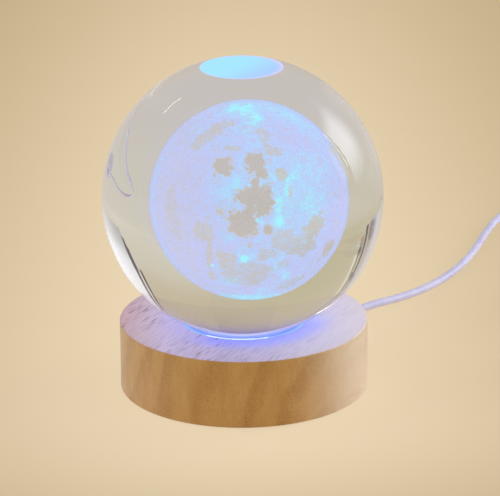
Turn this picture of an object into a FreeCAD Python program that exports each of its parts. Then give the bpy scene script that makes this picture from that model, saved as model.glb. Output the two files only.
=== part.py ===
import FreeCAD, Part
import math
import os

# A glass ball with a moon engraved inside it, lying in a clear ring on a round lit wooden
# base, with a thin cord, an in-line switch, a coil of spare cord and a plug.
# Millimetres. The base's axis is Z, z = 0 is the table, and the front is -Y.

V = FreeCAD.Vector
UP = V(0, 0, 1)

# Ball and moon
ball_radius = 40.0
ball_sink = 3.4            # depth of the ball's lowest point under the wood's top
facet_radius = 11.8        # ground flat on the ball's top
moon_radius = 18.7
moon_shift = V(1.2, 0, -0.65)

# Wooden base
base_radius = 35.6
wood_height = 19.8
wood_bottom = 0.4
edge_rounding = 0.4
seat_bore_radius = 18.2
light_hole_radius = 15.0
pocket_radius = 26.0
cover_recess_radius = 31.0
cover_recess_top = 2.6
pocket_top = 12.4
shelf_top = 14.4

# Seat ring and diffuser
fit_gap = 0.05
ball_gap = 0.12
seat_inner_radius = 14.2
seat_touch_radius = 15.2
seat_chamfer = 0.3
diffuser_thickness = 1.2

# Lamp board
board_radius = 22.0
board_thickness = 1.6
board_screw_circle = 19.8
led_circle = 8.5
led_count = 6
led_width = 5.0
led_height = 1.4
led_window_radius = 1.9
led_window_depth = 0.8

# Cover, pad and screws
cover_radius = 30.8
cover_thickness = 1.4
cover_screw_circle = 28.5
pad_radius = 24.0
pad_thickness = 1.2
screw_shank_radius = 0.85
screw_hole_radius = 1.1
screw_head_radius = 1.9
screw_head_height = 0.7
cover_screw_length = 7.8
board_screw_length = 6.0

# Cord
cord_radius = 1.2
cord_azimuth = 49.0        # degrees from +X, to the back right
exit_height = 7.6
relief_barrel_radius = 2.6
relief_flange_radius = 3.7
relief_tip = 46.0          # distance of the strain relief's tip from the base's axis
jacket_end = 14.5

# Coil of spare cord
coil_centre = V(112.0, 69.0, 0)
coil_mid_radius = 13.2
coil_pitch = 2.9           # from turn to turn, and from layer to layer
coil_layers = 4
coil_start_angle = 0.0     # degrees, where the cord comes in; the turns run clockwise
coil_turns = 10.0

# In-line switch
switch_centre = V(128.5, 4.2, 0)
case_length = 34.0
case_width = 13.0
case_height = 8.0
case_corner = 3.5
case_wall = 1.2
case_end_wall = 1.7
split_height = 4.0
sleeve_length = 5.0
button_radius = 3.3
button_flange_radius = 4.2
button_top = 9.2
boss_places = ((12.3, -3.4), (-12.3, -3.4))

# Plug
plug_start = V(98.5, -17.8, 0)
relief_length = 10.0
body_length = 22.0
body_width = 15.4
body_height = 8.0
shell_width = 12.0
shell_height = 4.5
shell_wall = 0.3
shell_length = 12.0
shell_inside = 2.0

# Worked out
wood_top = wood_bottom + wood_height
ball_centre = V(0, 0, wood_top - ball_sink + ball_radius)
board_bottom = pocket_top - board_thickness
cover_bottom = cover_recess_top - cover_thickness
cord_way = V(math.cos(math.radians(cord_azimuth)), math.sin(math.radians(cord_azimuth)), 0)
cord_diameter = 2 * cord_radius


def save(shape, node):
    shape.exportStep("parts/" + node + ".step")
    print(node, "volume", round(shape.Volume, 2), "solids", len(shape.Solids), "valid", shape.isValid())


def rod(radius, start, end):
    """A straight round bar from start to end."""
    way = end - start
    return Part.makeCylinder(radius, way.Length, start, way)


def disc(radius, low, high, x=0.0, y=0.0):
    """An upright round disc between two heights."""
    return Part.makeCylinder(radius, high - low, V(x, y, low))


def block(length, width, low, high, x=0.0, y=0.0):
    """A box centred on x, y between two heights."""
    return Part.makeBox(length, width, high - low, V(x - length / 2, y - width / 2, low))


def turned(profile):
    """A solid of revolution about Z from (radius, height) corners."""
    corners = [V(r, 0, z) for r, z in profile]
    outline = Part.makePolygon(corners + corners[:1])
    return Part.Face(outline).revolve(V(0, 0, 0), UP, 360)


def rounded_plate(length, width, corner, low, high):
    """A rectangular plate with rounded upright corners, centred on the origin."""
    plate = block(length, width, low, high)
    upright = [e for e in plate.Edges if abs(e.tangentAt(e.FirstParameter).z) > 0.99]
    return plate.makeFillet(corner, upright)


def edges_at(shape, height):
    """The edges that lie level at a height."""
    return [e for e in shape.Edges if abs(e.BoundBox.ZMin - height) + abs(e.BoundBox.ZMax - height) < 1e-3]


def spots(count, circle, first_angle):
    """Places evenly spaced on a circle about Z."""
    angles = [math.radians(first_angle + 360 * i / count) for i in range(count)]
    return [(circle * math.cos(a), circle * math.sin(a)) for a in angles]


def along_cord(shape):
    """Turns a shape made along +X to the cord's azimuth."""
    return shape.rotate(V(0, 0, 0), UP, cord_azimuth)


def placed(shape, place, angle):
    """Turns a shape about Z, then moves it."""
    turned_shape = shape.rotate(V(0, 0, 0), UP, angle)
    return turned_shape.translate(place)


def drop_cross(head_low, x, y):
    """The cross recess of a screw head whose face looks down."""
    bar = block(2.2, 0.5, head_low, head_low + 0.4, x, y)
    return bar.fuse(block(0.5, 2.2, head_low, head_low + 0.4, x, y))


def screw_up(x, y, seat, length):
    """A pan-head screw driven upwards, its head's upper face at the seat."""
    head = disc(screw_head_radius, seat - screw_head_height, seat, x, y)
    head = head.makeFillet(0.3, edges_at(head, seat - screw_head_height))
    shank = disc(screw_shank_radius, seat, seat + length, x, y)
    return head.cut(drop_cross(seat - screw_head_height, x, y)).fuse(shank)


# Paths and tubes

def rounded_path(points):
    """Straight runs joined by tangent arcs, each as large as its two runs allow."""
    edges = []
    radii = []
    start = points[0]
    for before, corner, after in zip(points, points[1:], points[2:]):
        way_in = (corner - before).normalize()
        way_out = (after - corner).normalize()
        half_turn = way_in.getAngle(way_out) / 2
        cut = 0.45 * min(corner.distanceToPoint(before), corner.distanceToPoint(after))
        radius = cut / math.tan(half_turn)
        inward = (way_out - way_in).normalize()
        middle = corner + inward * (radius / math.cos(half_turn) - radius)
        arc_start = corner - way_in * cut
        arc_end = corner + way_out * cut
        edges.append(Part.LineSegment(start, arc_start).toShape())
        edges.append(Part.Arc(arc_start, middle, arc_end).toShape())
        radii.append(radius)
        start = arc_end
    edges.append(Part.LineSegment(start, points[-1]).toShape())
    return edges, radii


def sweep(edges, radius):
    """A round solid tube along edges that are tangent to each other."""
    path = Part.Wire(edges)
    start = edges[0].valueAt(edges[0].FirstParameter)
    way = edges[0].tangentAt(edges[0].FirstParameter)
    pipe = Part.BRepOffsetAPI.MakePipeShell(path)
    pipe.add(Part.Wire(Part.makeCircle(radius, start, way)))
    pipe.build()
    pipe.makeSolid()
    return pipe.shape()


def tube(name, points, radius):
    """A tube along a route, with its least radius and its volume printed."""
    edges, radii = rounded_path(points)
    solid = sweep(edges, radius)
    length = sum(e.Length for e in edges)
    ideal = math.pi * radius ** 2 * length
    print(name, "length", round(length, 1), "radii", [round(r, 1) for r in radii],
          "volume ratio", round(solid.Volume / ideal, 4))
    return solid


def arc_edge(start, way, end):
    """An arc from start, leaving along way, to end."""
    chord = end - start
    half = chord * 0.5
    side = way - chord * (way.dot(chord) / chord.dot(chord))
    if side.Length < 1e-7:
        return Part.LineSegment(start, end).toShape()
    bulge = half.Length * math.tan(way.getAngle(chord) / 2)
    return Part.Arc(start, start + half + side.normalize() * bulge, end).toShape()


def biarc(start, way_in, end, way_out):
    """Two tangent arcs from one point and direction to another."""
    chord = end - start
    ways = way_in + way_out
    spare = 2 * (1 - way_in.dot(way_out))
    along = chord.dot(ways)
    reach = (math.sqrt(along ** 2 + 2 * spare * chord.dot(chord) / 2) - along) / spare
    middle = (start + way_in * reach + end - way_out * reach) * 0.5
    first = arc_edge(start, way_in, middle)
    second = arc_edge(end, way_out * -1, middle)
    second_points = [second.valueAt(second.FirstParameter + s * (second.LastParameter - second.FirstParameter))
                     for s in (1.0, 0.5, 0.0)]
    return [first, Part.Arc(*second_points).toShape()]


def wound_edges(place_at, way_at, turns):
    """Biarcs of a quarter turn along a winding given by its place and direction at each turn count."""
    steps = math.ceil(turns * 4)
    counts = [turns * i / steps for i in range(steps + 1)]
    edges = []
    for low, high in zip(counts, counts[1:]):
        edges += biarc(place_at(low), way_at(low), place_at(high), way_at(high))
    return edges


def least_gap(edges, radius, apart):
    """The least gap of a tube to itself, between points further apart along it than a length."""
    points = []
    for edge in edges:
        steps = max(2, int(edge.Length / 0.7))
        span = edge.LastParameter - edge.FirstParameter
        points += [edge.valueAt(edge.FirstParameter + span * i / steps) for i in range(steps)]
    total = sum(e.Length for e in edges)
    skip = int(apart / total * len(points))
    least = min(points[i].distanceToPoint(points[j])
                for i in range(len(points)) for j in range(i + skip, len(points)))
    return least - 2 * radius


# The coil: layers that spiral in and out, and climb where the spiral turns back

coil_layer_turns = (coil_turns + 0.25) / coil_layers
coil_span = coil_pitch * (coil_layer_turns - 0.25)
coil_inner = coil_mid_radius - coil_span / 2
coil_outer = coil_mid_radius + coil_span / 2
turn_backs = [coil_layer_turns * (i + 1) - 0.125 for i in range(coil_layers - 1)]


def coil_radius(count):
    """Radius of the winding's centreline after a number of turns."""
    for i, back in enumerate(turn_backs):
        if abs(count - back) <= 0.25:
            swing = 2 * coil_pitch * (count - back) ** 2
            return coil_inner + swing if i % 2 == 0 else coil_outer - swing
    layer = sum(count > back for back in turn_backs)
    since = count - (turn_backs[layer - 1] if layer else turn_backs[0])
    steady = coil_pitch * (abs(since) - 0.125)
    return coil_inner + steady if layer in (0, 1, 3) else coil_outer - steady


def coil_height(count):
    """Height of the winding's centreline after a number of turns."""
    height = cord_radius
    for back in turn_backs:
        share = min(max((count - back) / 0.5 + 0.5, 0.0), 1.0)
        height += coil_pitch * share * share * (3 - 2 * share)
    return height


def coil_place(count):
    angle = math.radians(coil_start_angle) - 2 * math.pi * count
    radius = coil_radius(count)
    return V(coil_centre.x + radius * math.cos(angle), coil_centre.y + radius * math.sin(angle), coil_height(count))


def coil_way(count):
    small = 1e-5
    return (coil_place(count + small) - coil_place(count - small)).normalize()


coil_in_way = coil_way(2e-5)
coil_in_way.z = 0
coil_in_way.normalize()
coil_in = coil_place(0) - coil_in_way * cord_diameter
coil_out_way = coil_way(coil_turns - 2e-5)
coil_out_way.z = 0
coil_out_way.normalize()
coil_out = coil_place(coil_turns) + coil_out_way * cord_diameter


def cord_coil():
    """One unbroken tube through all the turns, straight for one diameter at each end."""
    def way_at(count):
        if count < 1e-9:
            return coil_in_way
        if count > coil_turns - 1e-9:
            return coil_out_way
        return coil_way(count)
    edges = [Part.LineSegment(coil_in, coil_place(0)).toShape()]
    edges += wound_edges(coil_place, way_at, coil_turns)
    edges.append(Part.LineSegment(coil_place(coil_turns), coil_out).toShape())
    coil = sweep(edges, cord_radius)
    length = sum(e.Length for e in edges)
    ideal = math.pi * cord_radius ** 2 * length
    print("cord_coil length", round(length, 1), "inner", round(coil_inner, 2), "outer", round(coil_outer, 2),
          "gap", round(least_gap(edges, cord_radius, 30.0), 3), "volume ratio", round(coil.Volume / ideal, 4))
    return coil


# Routes of the free stretches

def from_base_route():
    """From the strain relief's tip down to the table, away to the back right, and round to the coil."""
    return [
        cord_way * relief_tip + UP * exit_height,
        cord_way * 56.0 + UP * exit_height,
        V(46.8, 56.4, 4.8),
        V(55.2, 70.4, 2.4),
        V(62.4, 83.6, 1.2),
        V(68.3, 95.0, 1.2),
        V(73.6, 109.2, 1.2),
        V(78.4, 127.0, 1.2),
        V(83.6, 142.2, 1.2),
        V(91.2, 155.4, 1.2),
        V(103.0, 163.0, 1.2),
        V(116.0, 160.4, 1.2),
        V(124.2, 149.0, 1.2),
        V(126.6, 133.0, 1.2),
        V(124.9, 114.0, 1.2),
        V(126.0, 97.0, 1.2),
        coil_in - coil_in_way * 9.5,
        coil_in,
    ]


def to_switch_route():
    """From the coil's top turn down to the table and up into the switch."""
    switch_end = switch_centre + V(0, case_length / 2 + sleeve_length, split_height)
    return [
        coil_out,
        coil_out + coil_out_way * 7.5,
        V(128.9, 49.6, 5.4),
        V(129.1, 40.2, 2.2),
        switch_end + V(0, 7.5, 0),
        switch_end,
    ]


def to_plug_route():
    """From the switch round a loose bend to the plug."""
    switch_end = switch_centre + V(0, -case_length / 2 - sleeve_length, split_height)
    plug_end = plug_start + UP * split_height
    return [
        switch_end,
        switch_end + V(0, -8.0, 0),
        V(124.0, -35.4, 1.7),
        V(113.6, -38.6, 1.2),
        V(103.1, -35.2, 1.7),
        plug_end + V(0, -8.0, 0),
        plug_end,
    ]


# Base

def wooden_base():
    """Turned wood with a stepped bore on top, a pocket below and a side hole for the cord."""
    wood = disc(base_radius, wood_bottom, wood_top)
    wood = wood.makeFillet(edge_rounding, edges_at(wood, wood_top) + edges_at(wood, wood_bottom))
    wood = wood.cut(disc(seat_bore_radius, shelf_top, wood_top + 1))
    wood = wood.cut(disc(light_hole_radius, pocket_top - 1, shelf_top + 1))
    wood = wood.cut(disc(pocket_radius, cover_recess_top - 1, pocket_top))
    wood = wood.cut(disc(cover_recess_radius, wood_bottom - 1, cover_recess_top))
    cord_hole = along_cord(rod(relief_barrel_radius, V(20, 0, exit_height), V(40, 0, exit_height)))
    wood = wood.cut(cord_hole)
    for x, y in spots(3, cover_screw_circle, 0):
        wood = wood.cut(disc(screw_shank_radius, cover_recess_top - 0.5, cover_bottom + cover_screw_length, x, y))
    for x, y in spots(3, board_screw_circle, 105):
        wood = wood.cut(disc(screw_shank_radius, pocket_top - 0.5, board_bottom + board_screw_length, x, y))
    return wood


def ball_height(radius):
    """Height of the ball's underside at a distance from the axis."""
    return ball_centre.z - math.sqrt(ball_radius ** 2 - radius ** 2)


def seat_ring():
    """Clear ring let into the wood, with a cone that the ball lies in."""
    low = shelf_top + diffuser_thickness
    outer = seat_bore_radius - fit_gap
    slope = seat_touch_radius / math.sqrt(ball_radius ** 2 - seat_touch_radius ** 2)
    touch = ball_height(seat_touch_radius) - ball_gap
    inner_top = touch + slope * (seat_inner_radius - seat_touch_radius)
    mouth = seat_touch_radius + (wood_top - touch) / slope
    return turned([
        (seat_inner_radius, low),
        (outer, low),
        (outer, wood_top - seat_chamfer),
        (outer - seat_chamfer, wood_top),
        (mouth, wood_top),
        (seat_inner_radius, inner_top),
    ])


def diffuser_disc():
    return disc(seat_bore_radius - 2 * fit_gap, shelf_top, shelf_top + diffuser_thickness)


def led_board():
    """Round board screwed up against the pocket's ceiling."""
    board = disc(board_radius, board_bottom, pocket_top)
    for x, y in spots(3, board_screw_circle, 105):
        board = board.cut(disc(screw_hole_radius, board_bottom - 1, pocket_top + 1, x, y))
    return board


def led_window(x, y):
    top = pocket_top + led_height
    return disc(led_window_radius, top - led_window_depth, top, x, y)


def led_packages():
    """Square lamp housings on the board, each with a round well and solder ends."""
    housings = []
    for x, y in spots(led_count, led_circle, 0):
        housing = rounded_plate(led_width, led_width, 0.4, pocket_top, pocket_top + led_height)
        housing.translate(V(x, y, 0))
        housings.append(housing.cut(led_window(x, y)))
    return Part.makeCompound(housings)


def led_windows():
    return Part.makeCompound([led_window(x, y) for x, y in spots(led_count, led_circle, 0)])


def resistors():
    """Small chip resistors under the board."""
    pieces = []
    for i in range(3):
        pieces.append(block(2.0, 1.25, board_bottom - 0.5, board_bottom, -8.0 + 4.0 * i, -12.0))
    return Part.makeCompound(pieces)


def controller_chip():
    """Flat chip with four bent legs on each side."""
    chip = block(4.9, 3.9, board_bottom - 1.5, board_bottom - 0.15, -3.0, -4.0)
    for side in (-1, 1):
        for i in range(4):
            x = -3.0 + 1.27 * (i - 1.5)
            leg = block(0.42, 0.8, board_bottom - 0.75, board_bottom - 0.55, x, -4.0 + side * 2.3)
            foot = block(0.42, 0.2, board_bottom - 0.75, board_bottom, x, -4.0 + side * 2.7)
            chip = chip.fuse(leg).fuse(foot)
    return chip.removeSplitter()


def capacitor():
    """Upright round capacitor on a square foot."""
    foot = block(5.2, 5.2, board_bottom - 0.6, board_bottom, -12.0, 5.0)
    can = disc(2.5, board_bottom - 5.4, board_bottom - 0.6, -12.0, 5.0)
    can = can.makeFillet(0.4, edges_at(can, board_bottom - 5.4))
    return foot.fuse(can)


def board_screws():
    return Part.makeCompound([screw_up(x, y, board_bottom, board_screw_length)
                              for x, y in spots(3, board_screw_circle, 105)])


def bottom_cover():
    """Thin round lid let into the base's underside."""
    cover = disc(cover_radius, cover_bottom, cover_recess_top)
    cover = cover.makeFillet(0.3, edges_at(cover, cover_bottom))
    for x, y in spots(3, cover_screw_circle, 0):
        cover = cover.cut(disc(screw_hole_radius, cover_bottom - 1, cover_recess_top + 1, x, y))
    return cover


def cover_screws():
    return Part.makeCompound([screw_up(x, y, cover_bottom, cover_screw_length)
                              for x, y in spots(3, cover_screw_circle, 0)])


def base_pad():
    """Non-slip pad on the cover, the one thing that meets the table."""
    return disc(pad_radius, 0, pad_thickness)


# Cord inside the base

def cord_relief():
    """Soft tapered strain relief, with a flange inside and outside the wood."""
    wood_outside = disc(base_radius, 0, wood_top)
    pocket = disc(pocket_radius, 0, pocket_top)
    inner = rod(3.5, V(24.6, 0, exit_height), V(27, 0, exit_height)).common(pocket)
    barrel = rod(relief_barrel_radius, V(25, 0, exit_height), V(36, 0, exit_height))
    flange = rod(relief_flange_radius, V(34, 0, exit_height), V(37, 0, exit_height)).cut(wood_outside)
    taper = Part.makeCone(relief_barrel_radius, 1.7, relief_tip - 37, V(37, 0, exit_height), V(1, 0, 0))
    relief = inner.fuse([barrel, flange, taper])
    for x in (39.4, 41.6, 43.8):
        ring = rod(3.2, V(x - 0.35, 0, exit_height), V(x + 0.35, 0, exit_height))
        relief = relief.cut(ring.cut(rod(1.65, V(x - 1, 0, exit_height), V(x + 1, 0, exit_height))))
    relief = relief.cut(rod(cord_radius, V(20, 0, exit_height), V(relief_tip + 1, 0, exit_height)))
    return along_cord(relief)


def cord_inside():
    return along_cord(rod(cord_radius, V(jacket_end, 0, exit_height), V(relief_tip, 0, exit_height)))


def cable_tie():
    """Tie pulled tight on the cord, which keeps it from being pulled out."""
    band = rod(1.9, V(20.4, 0, exit_height), V(22.9, 0, exit_height))
    head = Part.makeBox(2.9, 2.6, 3.4, V(20.2, 1.4, exit_height - 1.7))
    bore = rod(cord_radius, V(19, 0, exit_height), V(24, 0, exit_height))
    return along_cord(band.fuse(head).cut(bore))


def solder_blob(side):
    ball = Part.makeSphere(1.3, V(8.0, 2.6 * side, board_bottom))
    return ball.common(Part.makeBox(4, 4, 2, V(6.0, 2.6 * side - 2, board_bottom - 2)))


def solder_joints():
    return along_cord(Part.makeCompound([solder_blob(1), solder_blob(-1)]))


def lead(side, name):
    """One thin wire from the end of the cord's jacket to its solder joint."""
    route = [
        V(jacket_end, 0.6 * side, exit_height),
        V(12.2, 0.6 * side, exit_height),
        V(9.8, 1.9 * side, 8.4),
        V(8.0, 2.6 * side, 10.2),
    ]
    return along_cord(tube(name, route, 0.5).cut(solder_blob(side)))


# Ball

def moon_ball():
    return Part.makeSphere(moon_radius, ball_centre + moon_shift)


def crystal_ball():
    """Clear ball with a flat ground on its top and the engraved volume inside."""
    facet_height = ball_centre.z + math.sqrt(ball_radius ** 2 - facet_radius ** 2)
    ball = Part.makeSphere(ball_radius, ball_centre)
    ball = ball.cut(block(60, 60, facet_height, facet_height + 10))
    return ball.cut(moon_ball())


# In-line switch, made along X and turned to lie along Y

def switch_placed(shape):
    return placed(shape, switch_centre, 90)


def case_cavity():
    length = case_length - 2 * case_end_wall
    return rounded_plate(length, case_width - 2 * case_wall, case_corner - case_wall, case_wall,
                         case_height - case_wall)


def end_holes():
    return rod(2.0, V(-case_length, 0, split_height), V(case_length, 0, split_height))


def switch_lower_case():
    """Lower shell with two screw posts and the ribs under the contacts."""
    case = rounded_plate(case_length, case_width, case_corner, 0, split_height)
    case = case.makeFillet(0.9, edges_at(case, 0))
    case = case.cut(case_cavity())
    for x in (-8.0, 8.0):
        case = case.fuse(block(2.0, 2.6, case_wall, 3.8, x, 0))
    for x, y in boss_places:
        case = case.fuse(disc(1.6, case_wall - 0.2, split_height, x, y))
        case = case.cut(disc(0.75, -1, split_height + 1, x, y))
        case = case.cut(disc(1.4, -1, 0.8, x, y))
    return switch_placed(case.cut(end_holes()))


def switch_upper_case():
    """Upper shell with the button's hole and two screw posts."""
    case = rounded_plate(case_length, case_width, case_corner, split_height, case_height)
    case = case.makeFillet(1.2, edges_at(case, case_height))
    case = case.cut(case_cavity())
    case = case.cut(disc(button_radius + 0.15, split_height, case_height + 1))
    for x, y in boss_places:
        case = case.fuse(disc(1.6, split_height, case_height - case_wall + 0.2, x, y))
        case = case.cut(disc(0.65, split_height - 1, case_height - case_wall, x, y))
    return switch_placed(case.cut(end_holes()))


def switch_screws():
    """Two small screws driven up from under the switch."""
    screws = []
    for x, y in boss_places:
        head = disc(1.3, 0.2, 0.8, x, y)
        slot = block(2.0, 0.4, 0.1, 0.5, x, y)
        screws.append(head.cut(slot).fuse(disc(0.65, 0.8, 6.4, x, y)))
    return switch_placed(Part.makeCompound(screws))


def switch_sleeves():
    """Soft tapered sleeve at each end, held by a flange inside the case."""
    sleeves = []
    for side in (-1, 1):
        def at(x):
            return V(side * x, 0, split_height)
        inner_wall = case_length / 2 - case_end_wall
        end = case_length / 2
        flange = rod(2.6, at(inner_wall - 1.0), at(inner_wall))
        barrel = rod(2.0, at(inner_wall - 0.5), at(end + 0.1))
        taper = Part.makeCone(2.6, 1.7, sleeve_length, at(end), V(side, 0, 0))
        bore = rod(cord_radius, at(0), at(end + sleeve_length + 1))
        sleeves.append(flange.fuse([barrel, taper]).cut(bore))
    return switch_placed(Part.makeCompound(sleeves))


def switch_cord_ends():
    """The cord's jacket inside the two sleeves."""
    far = case_length / 2 + sleeve_length
    ends = [rod(cord_radius, V(side * 14.0, 0, split_height), V(side * far, 0, split_height))
            for side in (-1, 1)]
    return switch_placed(Part.makeCompound(ends))


def switch_leads():
    """One wire that runs through, and two that end on the contacts."""
    through = [V(-14, 0.6, 4.0), V(-12.4, 0.6, 4.0), V(-10.6, 3.6, 3.2), V(-6.0, 4.2, 2.9), V(0, 4.3, 2.9),
               V(6.0, 4.2, 2.9), V(10.6, 3.6, 3.2), V(12.4, 0.6, 4.0), V(14, 0.6, 4.0)]
    wires = [tube("switch_through_lead", through, 0.42)]
    for side in (-1, 1):
        route = [V(side * 14, -0.6, 4.0), V(side * 12.4, -0.6, 4.0), V(side * 10.6, -0.6, 4.64),
                 V(side * 8.6, -0.6, 4.64)]
        wires.append(tube("switch_contact_lead", route, 0.42))
    return switch_placed(Part.makeCompound(wires))


def switch_contacts():
    """Two fixed brass strips on the ribs."""
    strips = [block(6.2, 2.4, 3.8, 4.2, side * 6.7, 0) for side in (-1, 1)]
    return switch_placed(Part.makeCompound(strips))


def switch_button():
    """Push button with a flange under the roof and a spigot inside the spring."""
    cap = disc(button_radius, 5.9, button_top)
    cap = cap.makeFillet(0.5, edges_at(cap, button_top))
    dish = Part.makeSphere(12.0, V(0, 0, button_top + 12.0 - 0.3))
    flange = disc(button_flange_radius, 5.9, 6.7)
    spigot = disc(1.0, 4.6, 5.9)
    return switch_placed(cap.fuse([flange, spigot]).cut(dish))


def switch_bridge():
    """Brass bar under the button that joins the two strips when the button is down."""
    bar = block(10.4, 2.4, 5.5, 5.9)
    return switch_placed(bar.cut(disc(1.0, 5, 6.5)))


def switch_spring():
    """Small spring under the button."""
    wire_radius = 0.15
    low = case_wall + wire_radius
    high = 5.5 - wire_radius
    turns = 5.0
    spring_radius = 1.4

    def place_at(count):
        angle = 2 * math.pi * count
        return V(spring_radius * math.cos(angle), spring_radius * math.sin(angle), low + (high - low) * count / turns)

    def way_at(count):
        angle = 2 * math.pi * count
        rise = (high - low) / (2 * math.pi * turns)
        return V(-spring_radius * math.sin(angle), spring_radius * math.cos(angle), rise).normalize()

    edges = wound_edges(place_at, way_at, turns)
    print("switch_spring gap", round(least_gap(edges, wire_radius, 4.0), 3))
    return switch_placed(sweep(edges, wire_radius))


# Plug, made along X from the start of its strain relief, and turned to point along Y

def plug_placed(shape):
    return placed(shape, plug_start, 90)


body_end = relief_length + body_length
shell_back = body_end - shell_inside
shell_tip = body_end + shell_length
plug_axis = body_height / 2


def shell_outside():
    return Part.makeBox(shell_tip - shell_back, shell_width, shell_height,
                        V(shell_back, -shell_width / 2, plug_axis - shell_height / 2))


def plug_overmould():
    """Soft moulded grip with a ribbed strain relief."""
    grip = Part.makeBox(body_length, body_width, body_height, V(relief_length, -body_width / 2, 0))
    long_edges = [e for e in grip.Edges if abs(e.tangentAt(e.FirstParameter).x) > 0.99]
    grip = grip.makeFillet(2.0, long_edges)
    grip = grip.makeFillet(0.6, [e for e in grip.Edges
                                 if e.BoundBox.XLength < 1e-3 and abs(e.BoundBox.XMin - relief_length) < 1e-3])
    relief = Part.makeCone(1.8, 3.4, relief_length + 1, V(0, 0, plug_axis), V(1, 0, 0))
    for x in (2.2, 4.6, 7.0):
        groove = rod(4.5, V(x - 0.4, 0, plug_axis), V(x + 0.4, 0, plug_axis))
        relief = relief.cut(groove.cut(rod(1.7, V(x - 1, 0, plug_axis), V(x + 1, 0, plug_axis))))
    return plug_placed(grip.fuse(relief).cut(shell_outside()))


def plug_shell():
    """Thin folded metal sleeve, open at the tip, with two catches' windows above and below."""
    inside = Part.makeBox(shell_tip - shell_back + 2, shell_width - 2 * shell_wall, shell_height - 2 * shell_wall,
                          V(shell_back - 1, -shell_width / 2 + shell_wall, plug_axis - shell_height / 2 + shell_wall))
    shell = shell_outside().cut(inside)
    for y in (-2.9, 2.9):
        shell = shell.cut(Part.makeBox(2.2, 2.2, body_height, V(body_end + 4.6, y - 1.1, 0)))
    return plug_placed(shell)


tongue_low = plug_axis - shell_height / 2 + shell_wall
tongue_top = tongue_low + 1.8


def plug_tongue():
    """Plastic block at the shell's back with the flat tongue that carries the contacts."""
    width = shell_width - 2 * shell_wall
    height = shell_height - 2 * shell_wall
    back = Part.makeBox(5.0, width, height, V(shell_back, -width / 2, tongue_low))
    tongue = Part.makeBox(shell_tip - shell_back - 0.5, width, tongue_top - tongue_low,
                          V(shell_back, -width / 2, tongue_low))
    return plug_placed(back.fuse(tongue).removeSplitter())


def plug_contacts():
    """Four gilt strips on the tongue, the outer two longer."""
    strips = []
    for y, reach in ((-3.5, 7.6), (-1.2, 6.6), (1.2, 6.6), (3.5, 7.6)):
        strips.append(Part.makeBox(reach, 1.0, 0.15, V(shell_back + 5.0, y - 0.5, tongue_top)))
    return plug_placed(Part.makeCompound(strips))


os.makedirs("parts", exist_ok=True)

save(wooden_base(), "wooden_base")
save(seat_ring(), "seat_ring")
save(diffuser_disc(), "diffuser_disc")
save(led_board(), "led_board")
save(led_packages(), "led_packages")
save(led_windows(), "led_windows")
save(resistors(), "resistors")
save(controller_chip(), "controller_chip")
save(capacitor(), "capacitor")
save(board_screws(), "board_screws")
save(solder_joints(), "solder_joints")
save(lead(1, "lead_red"), "lead_red")
save(lead(-1, "lead_black"), "lead_black")
save(cord_inside(), "cord_inside")
save(cable_tie(), "cable_tie")
save(cord_relief(), "cord_relief")
save(bottom_cover(), "bottom_cover")
save(cover_screws(), "cover_screws")
save(base_pad(), "base_pad")

save(crystal_ball(), "crystal_ball")
save(moon_ball(), "engraved_moon")

save(tube("cord_from_base", from_base_route(), cord_radius), "cord_from_base")
save(cord_coil(), "cord_coil")
save(tube("cord_to_switch", to_switch_route(), cord_radius), "cord_to_switch")
save(tube("cord_to_plug", to_plug_route(), cord_radius), "cord_to_plug")

save(switch_lower_case(), "switch_lower_case")
save(switch_upper_case(), "switch_upper_case")
save(switch_screws(), "switch_screws")
save(switch_sleeves(), "switch_sleeves")
save(switch_cord_ends(), "switch_cord_ends")
save(switch_leads(), "switch_leads")
save(switch_contacts(), "switch_contacts")
save(switch_button(), "switch_button")
save(switch_bridge(), "switch_bridge")
save(switch_spring(), "switch_spring")

save(plug_overmould(), "plug_overmould")
save(plug_shell(), "plug_shell")
save(plug_tongue(), "plug_tongue")
save(plug_contacts(), "plug_contacts")
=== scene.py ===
import math
import random

import bmesh
import bpy
import numpy as np
from mathutils import Matrix, Vector, noise


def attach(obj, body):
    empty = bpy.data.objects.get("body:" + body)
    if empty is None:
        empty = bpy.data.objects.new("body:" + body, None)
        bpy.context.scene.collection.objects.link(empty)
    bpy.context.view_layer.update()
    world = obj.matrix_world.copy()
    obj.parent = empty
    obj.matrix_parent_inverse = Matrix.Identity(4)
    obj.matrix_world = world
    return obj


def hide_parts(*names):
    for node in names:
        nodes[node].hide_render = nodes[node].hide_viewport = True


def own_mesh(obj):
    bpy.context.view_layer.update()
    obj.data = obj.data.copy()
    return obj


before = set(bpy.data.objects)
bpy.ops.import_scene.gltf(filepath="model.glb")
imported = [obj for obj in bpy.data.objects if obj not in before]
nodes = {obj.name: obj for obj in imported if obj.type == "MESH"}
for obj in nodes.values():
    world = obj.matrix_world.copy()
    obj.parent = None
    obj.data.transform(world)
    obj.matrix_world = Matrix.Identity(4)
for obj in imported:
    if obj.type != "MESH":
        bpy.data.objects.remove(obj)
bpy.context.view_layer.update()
scene = bpy.context.scene
scene.view_settings.view_transform = "Standard"

# The frame is the CAD's: the base's axis is Z and the front is -Y. These are in metres.
MM = 0.001
UP = Vector((0, 0, 1))

BALL_RADIUS = 40 * MM
BALL_CENTRE = Vector((0, 0, 56.8)) * MM
FACET_RADIUS = 11.8 * MM
MOON_RADIUS = 18.7 * MM
MOON_CENTRE = BALL_CENTRE + Vector((1.2, 0, -0.65)) * MM
WOOD_TOP = 20.2 * MM
SEAT_RADIUS = 18.15 * MM

CORD_RADIUS = 1.2 * MM
CORD_AZIMUTH = math.radians(49)

# The cord's route and what lies on it are in millimetres, in the same frame.
EXIT_HEIGHT = 7.6
RELIEF_TIP = 46.0

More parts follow.
